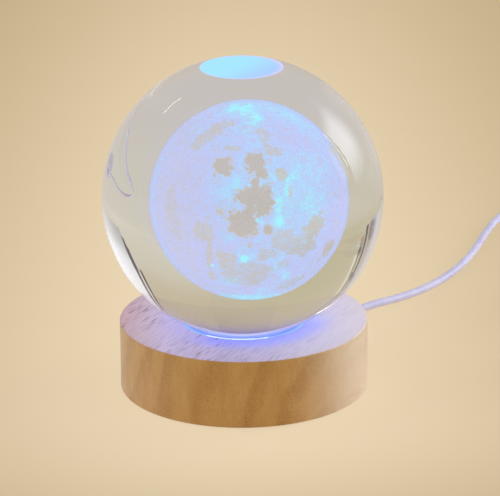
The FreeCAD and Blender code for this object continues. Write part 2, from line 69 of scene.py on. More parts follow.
COIL_CENTRE = (112.0, 69.0)
COIL_MID_RADIUS = 13.2
COIL_PITCH = 2.9
COIL_LAYERS = 4
COIL_TURNS = 10.0
COIL_POINTS_PER_TURN = 24
COIL_LEAD = 2.4
TURN_BACK = 0.25
SMALL_TURN = 1e-5

SWITCH_CENTRE = Vector((128.5, 4.2, 4.0))
SWITCH_REACH = 22.0
PLUG_START = Vector((98.5, -17.8, 4.0))


def srgb(red, green, blue):
    """A colour written as the eye reads it, 0 to 255, as the shader wants it."""
    def linear(value):
        share = value / 255
        return share / 12.92 if share <= 0.04045 else ((share + 0.055) / 1.055) ** 2.4
    return (linear(red), linear(green), linear(blue), 1.0)


def dimmed(colour, level):
    """A colour with its light brought down to a share."""
    return tuple(c * level for c in colour[:3]) + (1.0,)


# Node graphs

class Graph:
    """Adds nodes to a node tree and joins them."""

    def __init__(self, tree):
        self.tree = tree

    def add(self, kind, inputs=None, **settings):
        node = self.tree.nodes.new(kind)
        for key, value in settings.items():
            setattr(node, key, value)
        for key, value in (inputs or {}).items():
            self.put(node.inputs[key], value)
        return node

    def put(self, socket, value):
        if isinstance(value, bpy.types.NodeSocket):
            self.tree.links.new(value, socket)
        else:
            socket.default_value = value

    def math(self, operation, *values):
        return self.add("ShaderNodeMath", dict(enumerate(values)), operation=operation).outputs[0]

    def total(self, *terms):
        """Adds up numbers, sockets and (socket, factor) pairs, in their order."""
        first, *rest = [self.math("MULTIPLY", *term) if isinstance(term, tuple) else term for term in terms]
        for term in rest:
            first = self.math("ADD", first, term)
        return first

    def product(self, first, *rest):
        for factor in rest:
            first = self.math("MULTIPLY", first, factor)
        return first

    def without(self, share):
        """What a share leaves of 1."""
        return self.math("SUBTRACT", 1.0, share)

    def step(self, value, low, high, to_low=0.0, to_high=1.0):
        """A smooth step from to_low to to_high as value goes from low to high."""
        node = self.add("ShaderNodeMapRange", {0: value, 1: low, 2: high, 3: to_low, 4: to_high},
                        interpolation_type="SMOOTHSTEP")
        return node.outputs[0]

    def mix(self, share, first, second, blend="MIX"):
        node = self.add("ShaderNodeMix", {0: share, 6: first, 7: second}, data_type="RGBA",
                        blend_type=blend)
        return node.outputs[2]

    def place(self, rotation=(0, 0, 0), scale=(1, 1, 1), vector=None):
        """The piece's own coordinates, turned and then scaled."""
        if vector is None:
            vector = self.add("ShaderNodeTexCoord").outputs["Object"]
        if any(rotation):
            vector = self.add("ShaderNodeMapping", {"Vector": vector, "Rotation": rotation}).outputs[0]
        return self.add("ShaderNodeMapping", {"Vector": vector, "Scale": scale}).outputs[0]

    def noise(self, vector, scale, detail=2.0, roughness=0.5):
        node = self.add("ShaderNodeTexNoise", {"Vector": vector, "Scale": scale, "Detail": detail,
                                               "Roughness": roughness})
        return node.outputs[0]

    def cells(self, vector, scale, feature="F1"):
        node = self.add("ShaderNodeTexVoronoi", {"Vector": vector, "Scale": scale}, feature=feature)
        return node.outputs["Distance"]

    def ramp(self, share, stops):
        """A colour ramp from (place, colour) stops."""
        node = self.add("ShaderNodeValToRGB", {0: share})
        ramp = node.color_ramp
        while len(ramp.elements) < len(stops):
            ramp.elements.new(0.5)
        for element, (place, colour) in zip(ramp.elements, stops):
            element.position = place
            element.color = colour
        return node.outputs[0]

    def bump(self, height, strength, distance):
        node = self.add("ShaderNodeBump", {"Height": height, "Strength": strength, "Distance": distance})
        return node.outputs[0]

    def axes(self, vector):
        return self.add("ShaderNodeSeparateXYZ", {0: vector}).outputs

    def outside(self):
        """1 on a surface's outer side and 0 on its inner side."""
        return self.without(self.add("ShaderNodeNewGeometry").outputs["Backfacing"])

    def seen(self, path):
        """1 for what the camera, gloss and glass see, and 0 for the light on the object."""
        return self.math("MAXIMUM", self.math("MAXIMUM", path["Is Camera Ray"], path["Is Glossy Ray"]),
                         path["Is Transmission Ray"])


class Look(Graph):
    """A material with a Principled shader, built up with nodes."""

    def __init__(self, name, **sockets):
        self.material = bpy.data.materials.new(name)
        self.material.use_nodes = True
        super().__init__(self.material.node_tree)
        self.shader = self.tree.nodes["Principled BSDF"]
        self.output = self.tree.nodes["Material Output"]
        self.set(**sockets)

    def set(self, **sockets):
        for key, value in sockets.items():
            self.put(self.shader.inputs[key.replace("_", " ")], value)


def radius_from_axis(look):
    """How far a place on a piece is from the base's axis."""
    axes = look.axes(look.place())
    return look.math("SQRT", look.total((axes[0], axes[0]), (axes[1], axes[1])))


def dress(node_name, look):
    """Gives a CAD node a material."""
    mesh = nodes[node_name].data
    if not mesh.materials:
        mesh.materials.append(look.material)
    for i in range(len(mesh.materials)):
        mesh.materials[i] = look.material


# Plain materials of the small parts

def moulded(name, colour, roughness, grain=2600.0, relief=0.00004):
    """Moulded plastic with a fine cast texture and a little unevenness."""
    look = Look(name)
    place = look.place()
    fine = look.noise(place, grain, 3.0, 0.6)
    broad = look.noise(place, 90.0, 3.0, 0.55)
    look.set(Base_Color=look.mix(look.step(broad, 0.3, 0.7), dimmed(colour, 0.89), colour),
             Roughness=look.step(look.noise(place, 400.0), 0.3, 0.7, roughness - 0.06, roughness + 0.08),
             Normal=look.bump(fine, 0.35, relief))
    return look


def metal(name, colour, roughness, stretch=(1, 1, 1)):
    """Metal with drawn or brushed marks and slight tarnish."""
    look = Look(name, Metallic=1.0)
    marks = look.noise(look.place(scale=stretch), 1800.0, 3.0, 0.6)
    tarnish = look.step(look.noise(look.place(), 260.0, 4.0, 0.6), 0.42, 0.7)
    look.set(Base_Color=look.mix(tarnish, colour, dimmed(colour, 0.72)),
             Roughness=look.step(marks, 0.3, 0.7, roughness - 0.08, roughness + 0.12),
             Normal=look.bump(marks, 0.25, 0.00002))
    return look


for look, members in (
        (moulded("led_ceramic", srgb(232, 228, 214), 0.5), ["led_packages"]),
        (moulded("black_epoxy", srgb(34, 34, 36), 0.55), ["controller_chip", "resistors"]),
        (metal("capacitor_can", srgb(196, 198, 204), 0.3, (1, 1, 0.05)), ["capacitor"]),
        (metal("solder", srgb(188, 190, 194), 0.24), ["solder_joints"]),
        (metal("zinc_steel", srgb(182, 184, 188), 0.28, (1, 1, 0.1)),
         ["board_screws", "cover_screws", "switch_screws"]),
        (moulded("red_insulation", srgb(186, 40, 34), 0.42), ["lead_red", "switch_leads"]),
        (moulded("black_insulation", srgb(36, 34, 36), 0.42), ["lead_black"]),
        (moulded("tie_nylon", srgb(226, 224, 216), 0.4), ["cable_tie"]),
        (moulded("cover_plastic", srgb(226, 222, 214), 0.55, 1500.0, 0.00006), ["bottom_cover"]),
        (moulded("switch_plastic", srgb(226, 222, 228), 0.42, 1900.0, 0.00005),
         ["switch_lower_case", "switch_upper_case", "switch_button"]),
        (metal("brass", srgb(214, 176, 98), 0.28, (0.1, 1, 1)),
         ["switch_contacts", "switch_bridge", "plug_contacts"]),
        (metal("spring_steel", srgb(176, 178, 184), 0.25), ["switch_spring"]),
        (metal("plug_metal", srgb(206, 208, 212), 0.24, (1, 0.06, 1)), ["plug_shell"]),
        (moulded("plug_insulator", srgb(238, 238, 240), 0.45), ["plug_tongue"])):
    for member in members:
        dress(member, look)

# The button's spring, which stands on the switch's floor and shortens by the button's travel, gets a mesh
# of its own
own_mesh(nodes["switch_spring"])


# Cord

def cord_look():
    """Soft white jacket with a faint long grain from the extruder."""
    look = Look("cord_jacket", Roughness=0.38, Subsurface_Weight=0.12, Subsurface_Scale=0.001)
    place = look.place()
    smear = look.noise(place, 160.0, 3.0, 0.5)
    look.set(Base_Color=look.mix(look.step(smear, 0.3, 0.7), srgb(202, 201, 240), srgb(214, 213, 250)),
             Normal=look.bump(look.noise(place, 2400.0, 2.0, 0.5), 0.2, 0.00003))
    return look


cord_jacket = cord_look()
for name in ("cord_inside", "cord_relief", "switch_sleeves", "switch_cord_ends", "plug_overmould"):
    dress(name, cord_jacket)

# The winding's spiral turns back between layers, within TURN_BACK of a turn on each side
coil_layer_turns = (COIL_TURNS + TURN_BACK) / COIL_LAYERS
coil_span = COIL_PITCH * (coil_layer_turns - TURN_BACK)
coil_inner = COIL_MID_RADIUS - coil_span / 2
coil_outer = COIL_MID_RADIUS + coil_span / 2
turn_backs = [coil_layer_turns * (i + 1) - TURN_BACK / 2 for i in range(COIL_LAYERS - 1)]


def coil_radius(count):
    """Radius of the winding after a number of turns: it spirals in and out, and turns back smoothly."""
    for i, back in enumerate(turn_backs):
        if abs(count - back) <= TURN_BACK:
            swing = 2 * COIL_PITCH * (count - back) ** 2
            return coil_inner + swing if i % 2 == 0 else coil_outer - swing
    layer = sum(count > back for back in turn_backs)
    since = count - (turn_backs[layer - 1] if layer else turn_backs[0])
    steady = COIL_PITCH * (abs(since) - TURN_BACK / 2)
    return coil_inner + steady if layer in (0, 1, 3) else coil_outer - steady


def coil_height(count):
    """Height of the winding: it climbs one layer where the spiral turns back."""
    height = CORD_RADIUS / MM
    for back in turn_backs:
        share = min(max((count - back) / (2 * TURN_BACK) + 0.5, 0.0), 1.0)
        height += COIL_PITCH * share * share * (3 - 2 * share)
    return height


def coil_place(count):
    """Place of the winding after a number of turns."""
    angle = -2 * math.pi * count
    radius = coil_radius(count)
    return Vector((COIL_CENTRE[0] + radius * math.cos(angle), COIL_CENTRE[1] + radius * math.sin(angle),
                   coil_height(count)))


def coil_way(count):
    """Level direction of the winding."""
    way = coil_place(count + SMALL_TURN) - coil_place(count - SMALL_TURN)
    way.z = 0
    return way.normalized()


def switched_cord_points():
    """From the strain relief's tip to the coil, round all its turns, and on to the switch."""
    cord_way = Vector((math.cos(CORD_AZIMUTH), math.sin(CORD_AZIMUTH), 0))
    way_in = coil_way(2 * SMALL_TURN)
    coil_in = coil_place(0) - way_in * COIL_LEAD
    way_out = coil_way(COIL_TURNS - 2 * SMALL_TURN)
    coil_out = coil_place(COIL_TURNS) + way_out * COIL_LEAD
    switch_end = SWITCH_CENTRE + Vector((0, SWITCH_REACH, 0))
    points = [
        cord_way * RELIEF_TIP + UP * EXIT_HEIGHT,
        cord_way * 56.0 + UP * EXIT_HEIGHT,
        Vector((46.8, 56.4, 4.8)),
        Vector((55.2, 70.4, 2.4)),
        Vector((62.4, 83.6, 1.2)),
        Vector((68.3, 95.0, 1.2)),
        Vector((73.6, 109.2, 1.2)),
        Vector((78.4, 127.0, 1.2)),
        Vector((83.6, 142.2, 1.2)),
        Vector((91.2, 155.4, 1.2)),
        Vector((103.0, 163.0, 1.2)),
        Vector((116.0, 160.4, 1.2)),
        Vector((124.2, 149.0, 1.2)),
        Vector((126.6, 133.0, 1.2)),
        Vector((124.9, 114.0, 1.2)),
        Vector((126.0, 97.0, 1.2)),
        coil_in - way_in * 9.5,
        coil_in,
    ]
    steps = math.ceil(COIL_TURNS * COIL_POINTS_PER_TURN)
    points += [coil_place(COIL_TURNS * i / steps) for i in range(steps + 1)]
    points += [
        coil_out,
        coil_out + way_out * 7.5,
        Vector((128.9, 49.6, 5.4)),
        Vector((129.1, 40.2, 2.2)),
        switch_end + Vector((0, 7.5, 0)),
        switch_end,
    ]
    return points


def plug_cord_points():
    """From the switch round a loose bend to the plug."""
    switch_end = SWITCH_CENTRE - Vector((0, SWITCH_REACH, 0))
    return [
        switch_end,
        switch_end - Vector((0, 8.0, 0)),
        Vector((124.0, -35.4, 1.7)),
        Vector((113.6, -38.6, 1.2)),
        Vector((103.1, -35.2, 1.7)),
        PLUG_START - Vector((0, 8.0, 0)),
        PLUG_START,
    ]


def add_cord(name, points):
    """A round cord along one NURBS spline through its route's control points."""
    curve = bpy.data.curves.new(name, "CURVE")
    curve.dimensions = "3D"
    curve.bevel_depth = CORD_RADIUS
    curve.bevel_resolution = 4
    curve.use_fill_caps = True
    curve.resolution_u = 6
    spline = curve.splines.new("NURBS")
    spline.points.add(len(points) - 1)
    for knot, point in zip(spline.points, points):
        knot.co = (*(point * MM), 1.0)
    spline.order_u = 3
    spline.use_endpoint_u = True
    cord = bpy.data.objects.new(name, curve)
    scene.collection.objects.link(cord)
    curve.materials.append(cord_jacket.material)
    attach(cord, "root")
    return cord


switched_points = switched_cord_points()
switched_cord = add_cord("switched_cord", switched_points)
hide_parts("cord_from_base", "cord_coil", "cord_to_switch")

plug_points = plug_cord_points()
plug_cord = add_cord("plug_cord", plug_points)
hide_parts("cord_to_plug")


# Wood

GRAIN_AZIMUTH = math.radians(64)
GROWTHS_PER_METRE = 96.0
TOP_WIDTH = 0.072


def wood_look():
    """Pale turned wood: its fibres lie level and run back to the right, so the front is end grain."""
    look = Look("turned_wood", Coat_Weight=0.2, Coat_Roughness=0.4, Specular_IOR_Level=0.5,
                Sheen_Roughness=0.4)
    turned = look.place(rotation=(0, 0, -GRAIN_AZIMUTH))

    def fibrous(scale, size, detail, roughness=0.5):
        """Noise stretched along the fibres."""
        return look.noise(look.place(scale=scale, vector=turned), size, detail, roughness)

    x, y, z = look.axes(look.place())
    _, aside, up = look.axes(turned)
    across = look.total(aside, (up, 0.38), (fibrous((0.3, 1, 0.5), 24.0, 3.0), 0.04))
    wave = look.math("FRACT", look.math("MULTIPLY", across, GROWTHS_PER_METRE))
    growth = look.product(look.step(wave, 0.3, 0.76), look.step(wave, 0.78, 1.0, 1.0, 0.0))
    fibre = fibrous((0.05, 1, 1), 1900.0, 3.0, 0.6)
    streaks = fibrous((0.05, 1, 0.3), 420.0, 3.0, 0.75)
    normal = look.add("ShaderNodeTexCoord").outputs["Normal"]
    upright = look.step(look.math("ABSOLUTE", look.axes(normal)[2]), 0.2, 0.8)
    fibre_way = (math.cos(GRAIN_AZIMUTH), math.sin(GRAIN_AZIMUTH), 0)
    facing = look.add("ShaderNodeVectorMath", {0: normal, 1: fibre_way}, operation="DOT_PRODUCT")
    end_grain = look.step(look.math("ABSOLUTE", facing.outputs["Value"]), 0.1, 0.75)

    # Cut along the fibres: fine dashes, most faint and a few dark, fewer at the right
    dashes = fibrous((0.05, 1, 1), 3600.0, 0.0)
    clumps = fibrous((0.3, 1, 1), 150.0, 1.0)
    faint = look.product(look.step(dashes, 0.56, 0.68), 0.26)
    dark = look.step(look.total(dashes, look.step(x, -0.03, 0.03, 0.06, 0.0)), 0.68, 0.77)
    dark = look.product(dark, look.step(clumps, 0.45, 0.62, 0.0, 0.9))
    along = look.product(look.math("MAXIMUM", faint, dark), look.step(upright, 0.0, 1.0, 0.35, 1.0),
                         look.step(x, 0.004, 0.030, 1.0, 0.3))
    side = look.ramp(look.total((growth, 0.16), (streaks, 0.5), (fibre, 0.3)), [
        (0.25, srgb(229, 209, 184)), (0.5, srgb(221, 198, 170)), (0.8, srgb(203, 172, 140))])
    # Painted light and shade on the top: darker and warmer at the far left, darker in the middle under the
    # ball, and paler towards the right, where the key lamp falls
    top_painted_light = look.ramp(look.math("MULTIPLY_ADD", x, 1 / TOP_WIDTH, 0.5), [
        (0.0, srgb(206, 154, 122)), (0.1, srgb(216, 176, 150)), (0.2, srgb(222, 194, 178)),
        (0.3, srgb(213, 186, 172)), (0.43, srgb(204, 176, 166)), (0.58, srgb(213, 188, 174)),
        (0.72, srgb(228, 208, 180)), (1.0, srgb(250, 228, 188))])
    side = look.mix(look.product(upright, 0.75), side, top_painted_light)
    side = look.mix(along, side, srgb(124, 62, 60))

    # Cut across the fibres: soft bands of fine stipple
    stipple = look.product(look.step(fibrous((0.3, 1, 1), 3000.0, 1.0), 0.5, 0.72),
                           look.total((growth, 0.5), 0.3))
    end = look.ramp(look.total((growth, 0.17), (streaks, 0.46), (fibre, 0.15)), [
        (0.15, srgb(213, 165, 95)), (0.45, srgb(194, 143, 71)), (0.8, srgb(176, 126, 57))])
    # Painted sheen: the end grain is paler towards the left
    end = look.mix(look.step(x, -0.034, -0.008, 0.25, 0.0), end, srgb(208, 184, 150))
    end = look.mix(look.product(stipple, 0.6), end, srgb(132, 88, 38))
    colour = look.mix(end_grain, side, end)

    # Painted light and shade: the seat's blue glow, and the ball's shadow that takes white light away, are
    # painted into the top's colour in front of the ring
    shade = look.step(radius_from_axis(look), SEAT_RADIUS, 28 * MM, 0.62, 1.0)
    top = look.step(z, WOOD_TOP - 0.4 * MM, WOOD_TOP - 0.2 * MM)
    front = look.step(look.math("MULTIPLY_ADD", x, -0.45, y), -0.017, -0.006, 1.0, 0.15)
    painted_glow_and_shade = look.product(top, front, look.without(shade))
    height = look.math("SUBTRACT", look.math("MULTIPLY", fibre, 0.4), look.math("MAXIMUM", along, stipple))
    look.set(Base_Color=look.mix(painted_glow_and_shade, colour, srgb(68, 124, 250)),
             Roughness=look.step(streaks, 0.3, 0.7, 0.42, 0.56),
             Sheen_Weight=look.math("MULTIPLY_ADD", upright, -0.26, 0.26),
             Normal=look.bump(height, 0.3, 0.0001))
    return look


dress("wooden_base", wood_look())


# Base's inside and underside

RUNS_PER_METRE = 380.0


def board_look():
    """White lamp board with pale runs under the lacquer."""
    look = Look("circuit_board", Roughness=0.36, Coat_Weight=0.4, Coat_Roughness=0.2)
    wave = look.math("FRACT", look.math("MULTIPLY", radius_from_axis(look), RUNS_PER_METRE))
    rings = look.math("ABSOLUTE", look.math("SUBTRACT", wave, 0.5))
    cut = look.cells(look.place(), 230.0, "DISTANCE_TO_EDGE")
    run = look.product(look.step(rings, 0.24, 0.27), look.step(cut, 0.06, 0.09))
    look.set(Base_Color=look.mix(run, srgb(214, 218, 214), srgb(240, 240, 232)),
             Normal=look.bump(run, 0.5, 0.00004))
    return look


def pad_look():
    """Fine closed-cell foam."""
    look = Look("pad_foam", Roughness=0.92)
    cells = look.cells(look.place(), 2200.0)
    look.set(Base_Color=look.mix(look.step(cells, 0.2, 0.7), srgb(58, 58, 62), srgb(34, 34, 38)),
             Normal=look.bump(cells, 0.8, 0.00015))
    return look


dress("led_board", board_look())
dress("base_pad", pad_look())


def lit_look(name, colour, strength, base):
    """Milky plastic lit from behind, a little uneven."""
    look = Look(name, Base_Color=base, Roughness=0.45, Emission_Strength=strength)
    patch = look.noise(look.place(), 120.0)
    look.set(Emission_Color=look.mix(look.step(patch, 0.3, 0.7), dimmed(colour, 0.75), colour),
             Normal=look.bump(look.noise(look.place(), 1500.0), 0.2, 0.00004))
    return look


dress("diffuser_disc", lit_look("opal_plastic", srgb(150, 172, 255), 0.7, srgb(130, 134, 160)))
dress("led_windows", lit_look("led_resin", srgb(150, 170, 255), 1.0, srgb(200, 190, 130)))


# The ring's bright arcs, which are painted highlights, as (start, end, level), come back every third of a
# turn. They are in degrees.
ARCS = ((8, 19, 0.9), (20, 31, 0.7), (33, 53, 1.0), (55, 60, 0.7), (62, 65, 1.0))
ARCS_REPEAT = 120.0
ARCS_START = -133


def ring_look():
    """Clear acrylic that carries the lamps' light, painted in as a glow that is brightest at its edge,
    where painted highlights show as bright arcs.
    """
    look = Look("clear_acrylic", Roughness=0.12, IOR=1.49, Emission_Strength=1.0)
    axes = look.axes(look.place())
    outer = look.step(radius_from_axis(look), SEAT_RADIUS - 0.85 * MM, SEAT_RADIUS - 0.65 * MM)
    edge = look.product(outer, look.step(axes[2], WOOD_TOP - 0.5 * MM, WOOD_TOP - 0.25 * MM))
    angle = look.math("MULTIPLY", look.math("ARCTAN2", axes[1], axes[0]), 180 / math.pi)
    turn = look.math("MODULO", look.math("ADD", angle, 360 - ARCS_START), ARCS_REPEAT)
    arcs = None
    for start, end, level in ARCS:
        arc = look.product(look.step(turn, start - 2, start), look.step(turn, end, end + 2, level, 0.0))
        arcs = look.math("MAXIMUM", arcs, arc) if arcs else arc
    ripple = look.noise(look.place(), 160.0)
    bright = look.mix(arcs, srgb(128, 178, 250), srgb(226, 252, 255))
    look.set(Base_Color=srgb(70, 80, 130), Emission_Color=look.mix(edge, srgb(104, 120, 226), bright),
             Roughness=look.step(ripple, 0.3, 0.7, 0.08, 0.2))
    return look


dress("seat_ring", ring_look())


# Ball

def new_object(name, mesh, body, slot, *looks):
    """A piece of the scene's own that rides on a body of the part."""
    for look in looks:
        mesh.materials.append(look.material)
    piece = bpy.data.objects.new(name, mesh)
    scene.collection.objects.link(piece)
    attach(piece, body)
    return piece


LOW_GLOW = (22.5 * MM, 28.5 * MM)


def glass_look():
    """Clear crystal with a trace of colour."""
    look = Look("crystal", IOR=1.52, Transmission_Weight=1.0, Emission_Strength=1.0)
    cloud = look.noise(look.place(), 40.0)
    height = look.axes(look.place())[2]
    rise = look.step(height, BALL_CENTRE.z - 0.8 * BALL_RADIUS, BALL_CENTRE.z + BALL_RADIUS)
    # Painted glow: the crystal gives off a faint blue light of its own, stronger towards the top
    painted_glow_haze = look.mix(rise, (0.002, 0.003, 0.006, 1), (0.008, 0.013, 0.040, 1))
    tint = look.mix(look.step(cloud, 0.3, 0.7), srgb(246, 247, 242), srgb(250, 250, 247))

    # Painted light: the low edge glows with the seat's light, below a thin painted darker line
    edge = look.add("ShaderNodeLayerWeight", {"Blend": 0.5}).outputs["Facing"]
    low = look.product(look.step(height, *LOW_GLOW, 1.0, 0.0), look.outside())
    lit = look.product(look.step(edge, 0.755, 0.80), low)
    line = look.product(look.step(edge, 0.70, 0.755), low)
    tint = look.mix(line, tint, srgb(196, 186, 196))
    glow = look.mix(look.step(edge, 0.78, 0.92), (0.40, 0.37, 0.53, 1), (0.09, 0.20, 0.52, 1))
    look.set(Base_Color=look.mix(lit, tint, srgb(150, 148, 160)),
             Emission_Color=look.mix(lit, painted_glow_haze, glow), Roughness=look.product(lit, 0.3))
    return look


def facet_look():
    """The ground flat on top, filled with the lamp's light: cyan at the left, violet at the right."""
    look = Look("ground_flat", Roughness=0.35, IOR=1.52, Emission_Strength=1.0,
                Base_Color=srgb(60, 80, 110))
    axes = look.axes(look.place())
    slope = look.total(axes[0], (axes[1], -0.6), (look.noise(look.place(), 150.0), 0.004))
    glow = look.mix(look.step(slope, -0.002, 0.016), srgb(140, 214, 250), srgb(150, 184, 250))
    inside = look.add("ShaderNodeNewGeometry").outputs["Backfacing"]
    margin = look.step(look.total(radius_from_axis(look), (axes[0], 0.06)),
                       FACET_RADIUS - 1.8 * MM, FACET_RADIUS + 0.6 * MM)
    glow = look.mix(margin, glow, srgb(190, 190, 236))
    look.set(Emission_Color=look.mix(inside, glow, srgb(120, 112, 118)),
             Normal=look.bump(look.noise(look.place(), 6000.0), 0.3, 0.00002))
    return look


BALL_STEPS = 112
BALL_SIDES = 224


def ball_mesh():
    """A ball turned from its profile, with a flat ground on top that has a fine edge."""
    flat_angle = math.asin(FACET_RADIUS / BALL_RADIUS)
    body = bmesh.new()

    def add_ring(radius, height):
        angles = [2 * math.pi * k / BALL_SIDES for k in range(BALL_SIDES)]
        return [body.verts.new((radius * math.cos(a), radius * math.sin(a), height)) for a in angles]

    def join(first, second, material_index=0):
        for k in range(BALL_SIDES):
            after = (k + 1) % BALL_SIDES
            face = body.faces.new((first[k], first[after], second[after], second[k]))
            face.material_index = material_index

    angles = [math.pi - (math.pi - flat_angle) * i / BALL_STEPS for i in range(1, BALL_STEPS + 1)]
    rings = [add_ring(BALL_RADIUS * math.sin(a), BALL_RADIUS * math.cos(a)) for a in angles]
    bottom = body.verts.new((0, 0, -BALL_RADIUS))
    for k in range(BALL_SIDES):
        body.faces.new((bottom, rings[0][(k + 1) % BALL_SIDES], rings[0][k]))
    for low, high in zip(rings, rings[1:]):
        join(low, high)
    for face in body.faces:
        face.smooth = True
    flat_height = BALL_RADIUS * math.cos(angles[-1])
    flat_rings = [rings[-1]] + [add_ring(FACET_RADIUS * share, flat_height) for share in (0.66, 0.33)]
    top = body.verts.new((0, 0, flat_height))
    for outer, inner in zip(flat_rings, flat_rings[1:]):
        join(outer, inner, 1)
    for k in range(BALL_SIDES):
        face = body.faces.new((flat_rings[-1][k], flat_rings[-1][(k + 1) % BALL_SIDES], top))
        face.material_index = 1
    for edge in body.edges:
        if len({f.material_index for f in edge.link_faces}) > 1:
            edge.smooth = False
    mesh = bpy.data.meshes.new("glass_ball")
    body.to_mesh(mesh)
    body.free()
    mesh.transform(Matrix.Translation(BALL_CENTRE))
    return mesh


glass_ball = new_object("glass_ball", ball_mesh(), "ball", "crystal", glass_look(), facet_look())
glass_ball.visible_shadow = False
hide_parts("crystal_ball")


# Moon: clear plains, and brighter or duller ground, as (longitude, latitude, half width, half height, turn,
# strength). The half sizes are in millimetres and the angles in degrees. Longitude 0 is at the front.

CRATERS = 200
ROW_PITCH = 0.62 * MM

PLAINS = [
    (-22, 40, 2.2, 2.2, 8, 1.00), (7, 45, 2.4, 2.8, -3, 1.00), (12, 37, 1.5, 1.4, 0, 1.00),
    (29, 34, 1.4, 1.5, 31, 0.80), (6, 30, 1.3, 1.6, -2, 1.00), (5, 20, 4.2, 2.3, -3, 1.00),
    (11, 13, 2.6, 2.2, -4, 1.00), (15, 24, 1.6, 1.4, 0, 0.90), (0, 9, 2.0, 1.4, 30, 1.00),
    (-4, 1, 3.2, 3.0, 1, 1.00), (14, -4, 1.1, 1.2, -5, 1.00), (51, -7, 3.1, 2.2, 26, 0.80),
    (40, -19, 4.2, 2.4, -19, 0.56), (26, -13, 2.8, 2.4, -8, 0.54), (-32, -7, 2.4, 2.4, -11, 0.56),
    (-30, -24, 0.9, 3.2, -10, 0.58), (-17, -26, 2.0, 2.4, 4, 0.58), (-20, 9, 0.8, 0.9, 6, 0.70),
    (-60, 61, 4.8, 1.9, 78, 0.58), (-19, 55, 2.2, 0.6, 8, 0.60), (25, 66, 1.6, 2.2, 10, 0.45),
    (27, 51, 1.8, 1.4, -12, 0.62), (33, 21, 0.5, 1.2, -10, 0.60), (72, -29, 2.2, 1.9, -26, 0.60),
    (14, -23, 2.0, 1.6, -5, 0.50), (-2, -40, 5.0, 3.6, -1, 0.48), (49, -54, 2.8, 1.8, 49, 0.40),
    (-60, 0, 1.9, 6.0, 15, 0.27), (-86, 51, 3.1, 2.6, 35, 0.15), (1, -15, 0.5, 0.8, -1, 0.80),
    (-34, -43, 1.0, 1.3, 8, 0.40), (28, -32, 1.5, 1.5, -8, 0.35), (150, 30, 4.2, 3.0, 20, 0.90),
    (178, 8, 3.2, 2.6, -10, 1.00), (-150, -6, 2.6, 3.4, 15, 0.90), (130, -14, 3.0, 2.2, 30, 0.80),
    (-172, -32, 3.4, 2.4, 0, 0.80), (105, 22, 2.2, 2.8, 0, 0.70), (-118, 18, 2.6, 2.0, -20, 0.85),
    (-105, -24, 2.0, 2.6, 10, 0.70), (160, -52, 2.8, 1.8, 0, 0.60), (-140, 46, 2.4, 1.8, 0, 0.70),
]
BRIGHTS = [
    (-143, 80, 3.3, 2.8, 127, 0.78), (34, 82, 1.5, 2.3, -27, 0.80), (109, 62, 6.1, 3.0, -131, 0.35),
    (41, 20, 8.4, 10.3, -13, 0.28), (32, 25, 2.3, 0.7, 73, 0.45), (22, 11, 2.8, 1.0, 83, 0.55),
    (21, 1, 1.4, 1.2, -7, 0.60), (-8, 31, 1.1, 2.3, 2, 0.42), (-19, 24, 3.4, 2.6, 6, 0.34),
    (-13, -9, 1.6, 0.7, 3, 0.40), (-3, -26, 0.7, 0.9, 0, 1.30), (-3, -25, 2.6, 2.5, 0, 0.22),
    (-24, -35, 1.4, 1.6, 6, 0.40), (-20, -48, 2.7, 1.6, 5, 0.45), (35, -45, 1.1, 1.7, 23, 0.55),
    (17, -62, 1.3, 1.7, -7, 0.50), (23, -32, 1.4, 2.5, -7, 0.35), (-87, -2, 2.4, 11.9, 17, 0.50),
    (-89, -38, 3.0, 4.7, 0, 0.40), (81, -8, 5.2, 10.5, -17, -0.30), (61, 57, 4.9, 3.7, -53, -0.30),
    (47, 7, 3.5, 2.0, -13, 0.12), (10, 2, 0.7, 0.7, -3, 0.50), (6, 3, 0.7, 0.7, -2, 0.50),
    (-52, 1, 7.3, 9.0, 13, -0.15), (-30, -33, 0.4, 0.5, 7, 1.20), (-80, 58, 5.4, 3.4, 92, 0.15),
    (140, 5, 4.0, 3.0, 20, 0.50), (-165, 24, 3.6, 4.4, 0, 0.45), (-130, -30, 3.8, 2.6, 30, 0.40),
    (105, -20, 3.0, 4.0, 0, 0.35), (175, -45, 2.6, 2.0, 0, 0.50),
]


def globe(longitude, latitude):
    """Unit vector, and its east and north, on a globe whose front is -Y."""
    lon, lat = math.radians(longitude), math.radians(latitude)
    out = np.array([math.sin(lon) * math.cos(lat), -math.cos(lon) * math.cos(lat), math.sin(lat)])
    east = np.array([math.cos(lon), math.sin(lon), 0.0])
    return out, east, np.cross(out, east)


